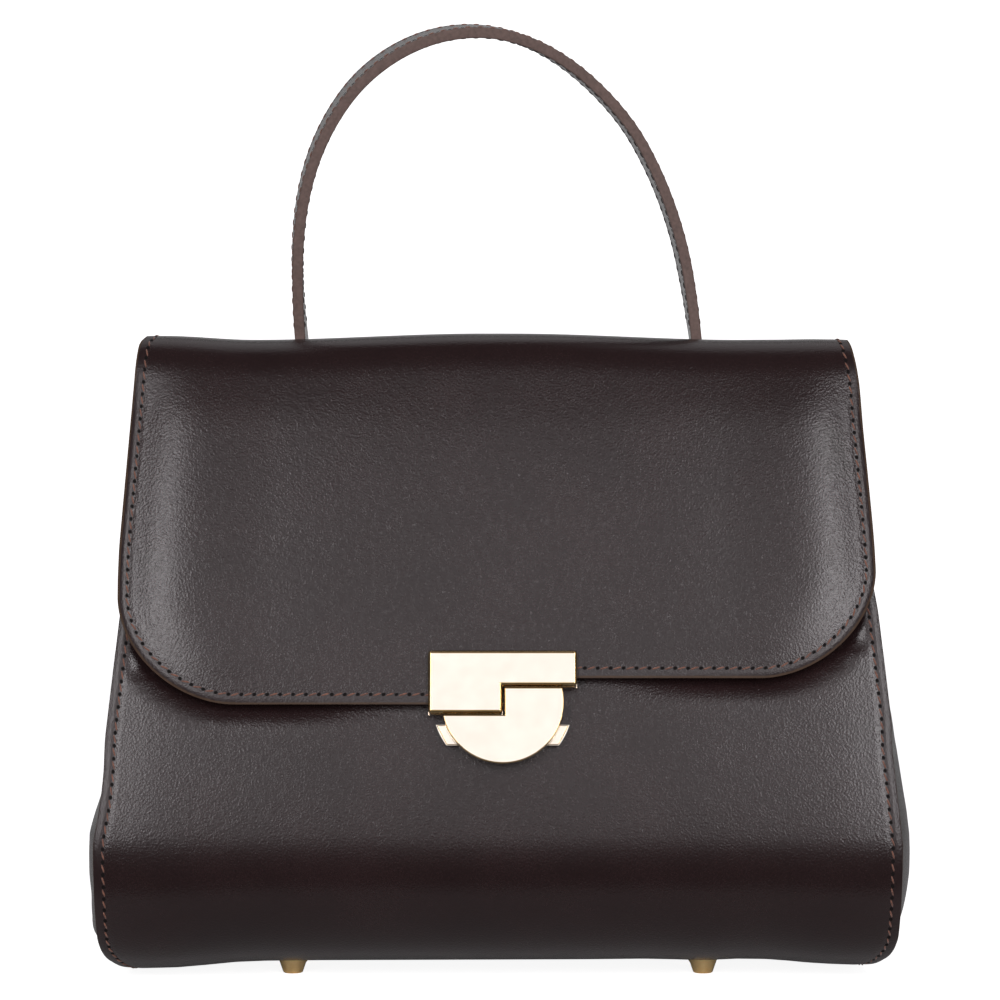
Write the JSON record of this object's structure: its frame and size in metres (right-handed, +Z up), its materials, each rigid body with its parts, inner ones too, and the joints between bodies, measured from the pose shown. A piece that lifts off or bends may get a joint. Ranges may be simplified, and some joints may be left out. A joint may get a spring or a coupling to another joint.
{
  "type": "top handle bag",
  "caption": "Structured leather top handle bag with domed gussets, a full flap that carries an arched strap handle, a stepped disc lock with squeeze tabs, and stud feet.",
  "frame": {"origin": "on the table under the middle of the bag's bounding box, at the lowest point of the feet", "axes": "+X to the right as seen from the front, +Y towards the back (the flap and the lock face -Y), +Z up through the handle"},
  "size_m": [0.2884, 0.1286, 0.3288],
  "materials": {
    "outer_leather": "smooth, fine grain, low sheen, dark chocolate, painted raw edges",
    "lining_leather": "matte, tan",
    "stiffening_board": "bonded leather fibre board, matte",
    "reinforcing_tape": "woven tape, matte",
    "antique_brass": "satin, slightly darkened",
    "pale_gold": "polished pale gold plating",
    "plated_steel": "zinc plated"
  },
  "bodies": {
    "bag": {"front_panel": "outer_leather", "back_panel": "outer_leather", "gusset_left": "outer_leather", "gusset_right": "outer_leather", "front_board": "stiffening_board", "back_board": "stiffening_board", "base_board": "stiffening_board", "front_lining": "lining_leather", "back_lining": "lining_leather", "gusset_lining_left": "lining_leather", "gusset_lining_right": "lining_leather", "front_facing": "outer_leather", "back_facing": "outer_leather", "slip_pocket": "lining_leather", "feet": "antique_brass", "foot_screws": "plated_steel", "flap_tail": "outer_leather", "lock_disc": "pale_gold", "lock_base": "pale_gold", "spring_left": "plated_steel", "spring_right": "plated_steel", "lock_case": "plated_steel", "lock_screws": "plated_steel", "lock_cover": "lining_leather"},
    "flap": {"flap_outer": "outer_leather", "flap_board": "stiffening_board", "flap_lining": "lining_leather", "handle_outer": "outer_leather", "handle_inner": "outer_leather", "handle_tape": "reinforcing_tape", "lock_plate": "pale_gold", "lock_clamp": "pale_gold", "lock_plate_screws": "plated_steel"},
    "squeeze_tab_left": {"tab_left": "pale_gold"},
    "squeeze_tab_right": {"tab_right": "pale_gold"}
  },
  "joints": [
    {"name": "flap_hinge", "type": "hinge", "parent": "bag", "child": "flap", "pos_m": [0, 0.02988, 0.2205], "axis": [-1, 0, 0], "range_deg": [0, 160]},
    {"name": "tab_left_slide", "type": "slide", "parent": "bag", "child": "squeeze_tab_left", "axis": [1, 0, 0], "range_m": [0, 0.002], "stiffness_N_per_m": 200, "springref_m": -0.004, "deforming": ["spring_left"]},
    {"name": "tab_right_slide", "type": "slide", "parent": "bag", "child": "squeeze_tab_right", "axis": [-1, 0, 0], "range_m": [0, 0.002], "stiffness_N_per_m": 200, "springref_m": -0.004, "deforming": ["spring_right"]}
  ]
}
